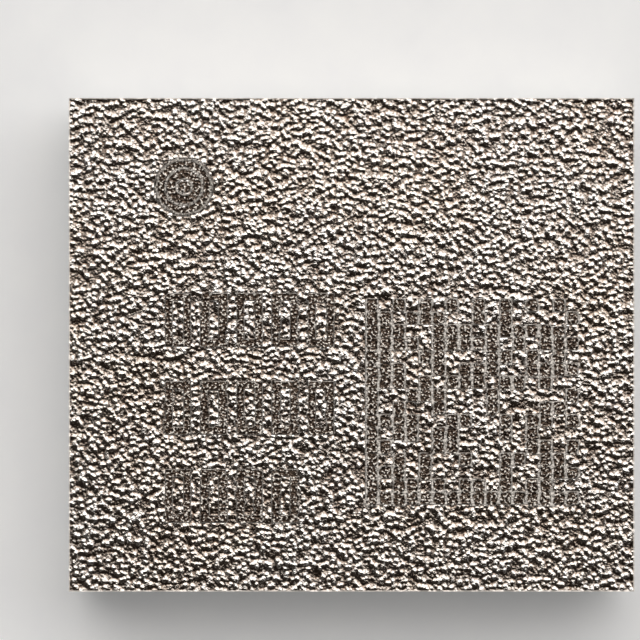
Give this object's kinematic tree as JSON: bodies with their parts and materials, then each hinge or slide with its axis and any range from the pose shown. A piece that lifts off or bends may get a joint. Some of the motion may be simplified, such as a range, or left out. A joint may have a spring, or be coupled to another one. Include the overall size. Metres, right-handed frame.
{
  "type": "bga chip",
  "caption": "Shielded ball-grid-array module: a metal-coated moulded block on a green laminate with a grid of solder balls beneath.",
  "frame": {"origin": "centre of the plane that the solder balls stand on", "axes": "+Z out of the marked metal top face, X along the longer side, orientation dot in the -X +Y corner"},
  "size_m": [0.0046, 0.004, 0.001],
  "materials": {
    "shield_metal": "fine matt pitted",
    "mould_compound": "matt",
    "solder_mask": "satin, see-through over copper",
    "laminate": "cut glass-fibre laminate",
    "copper": "bare copper",
    "gold_finish": "satin gold",
    "solder": "reflowed, grainy",
    "silicon": "ground silicon",
    "die_film": "matt",
    "piezo_crystal": "lapped",
    "capacitor_ceramic": "sintered",
    "inductor_ceramic": "sintered",
    "tin_plating": "matt tin"
  },
  "bodies": {
    "root": {"emi_shield": "shield_metal", "mould_cap": "mould_compound", "solder_mask_top": "solder_mask", "laminate": "laminate", "vias": "copper", "ground_copper": "copper", "ball_pads": "copper", "solder_mask_bottom": "solder_mask", "solder_balls_row_a": "solder", "solder_balls_row_b": "solder", "solder_balls_row_c": "solder", "solder_balls_row_d": "solder", "solder_balls_row_e": "solder", "solder_balls_row_f": "solder", "solder_balls_row_g": "solder", "solder_balls_row_h": "solder", "top_lands": "gold_finish", "solder_joints": "solder", "switch_die": "silicon", "die_film": "die_film", "bond_wires": "gold_finish", "filter_die_1": "piezo_crystal", "filter_die_2": "piezo_crystal", "filter_die_3": "piezo_crystal", "filter_die_4": "piezo_crystal", "filter_bumps_1": "gold_finish", "filter_bumps_2": "gold_finish", "filter_bumps_3": "gold_finish", "filter_bumps_4": "gold_finish", "capacitor_1": "capacitor_ceramic", "capacitor_2": "capacitor_ceramic", "capacitor_3": "capacitor_ceramic", "capacitor_4": "capacitor_ceramic", "capacitor_5": "capacitor_ceramic", "capacitor_6": "capacitor_ceramic", "inductor_1": "inductor_ceramic", "inductor_2": "inductor_ceramic", "inductor_3": "inductor_ceramic", "inductor_4": "inductor_ceramic", "capacitor_terminals_1": "tin_plating", "capacitor_terminals_2": "tin_plating", "capacitor_terminals_3": "tin_plating", "capacitor_terminals_4": "tin_plating", "capacitor_terminals_5": "tin_plating", "capacitor_terminals_6": "tin_plating", "inductor_terminals_1": "tin_plating", "inductor_terminals_2": "tin_plating", "inductor_terminals_3": "tin_plating", "inductor_terminals_4": "tin_plating"}
  },
  "joints": []
}
